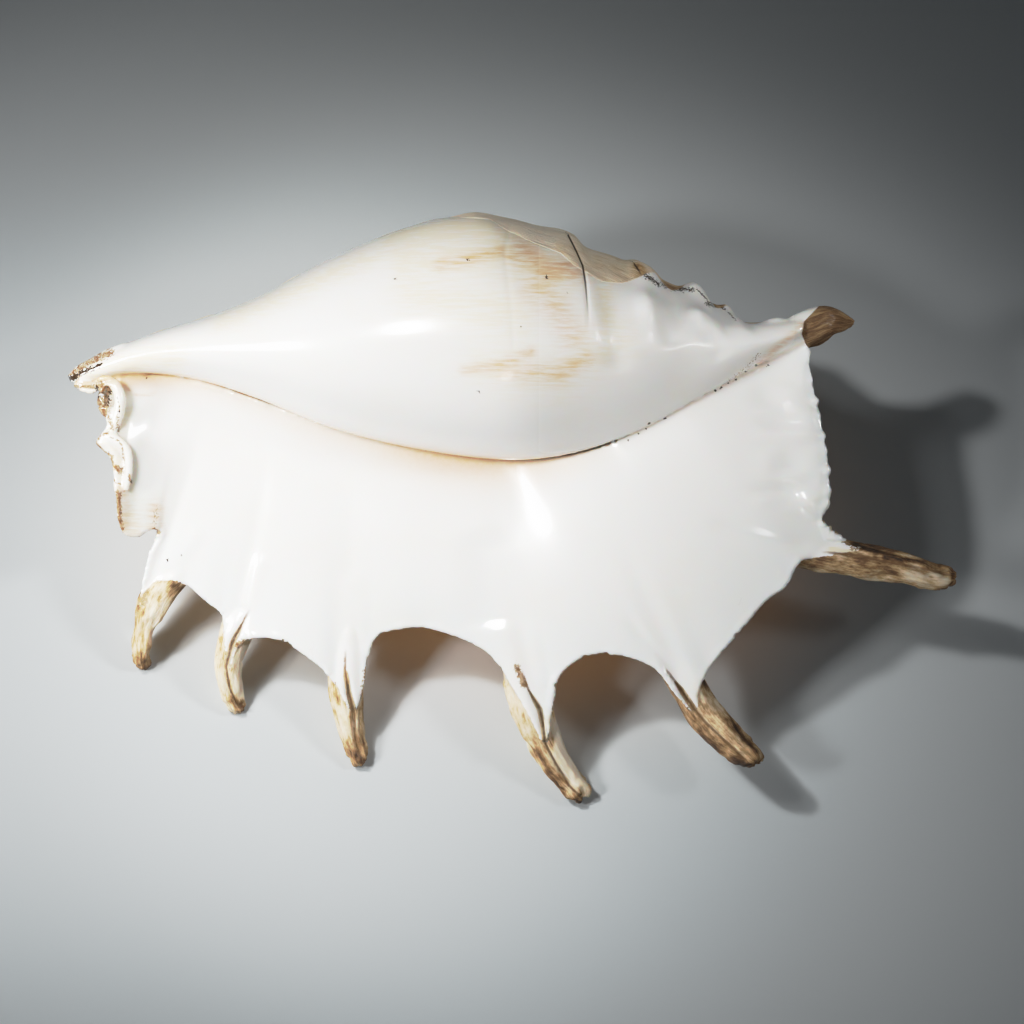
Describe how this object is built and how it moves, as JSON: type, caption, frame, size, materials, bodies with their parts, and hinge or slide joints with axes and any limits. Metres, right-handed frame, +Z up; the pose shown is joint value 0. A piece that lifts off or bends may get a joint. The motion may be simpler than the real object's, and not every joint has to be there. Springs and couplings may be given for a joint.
{
  "type": "giant spider conch shell",
  "caption": "Large sea shell with a spindle-shaped whorl, a low stepped spire and a broad white lip drawn out into curved hollow digits; lies on its back, mouth up.",
  "frame": {"origin": "centre of the bounding box in plan, on the surface that the shell rests on", "axes": "+X from the siphon end to the spire, +Y from the digits to the back of the whorl, +Z up out of the mouth"},
  "size_m": [0.32, 0.207, 0.0996],
  "materials": {
    "shell": "glossy white callus on the mouth side, rough tan and brown outside"
  },
  "bodies": {
    "root": {"shell": "shell"}
  },
  "joints": []
}
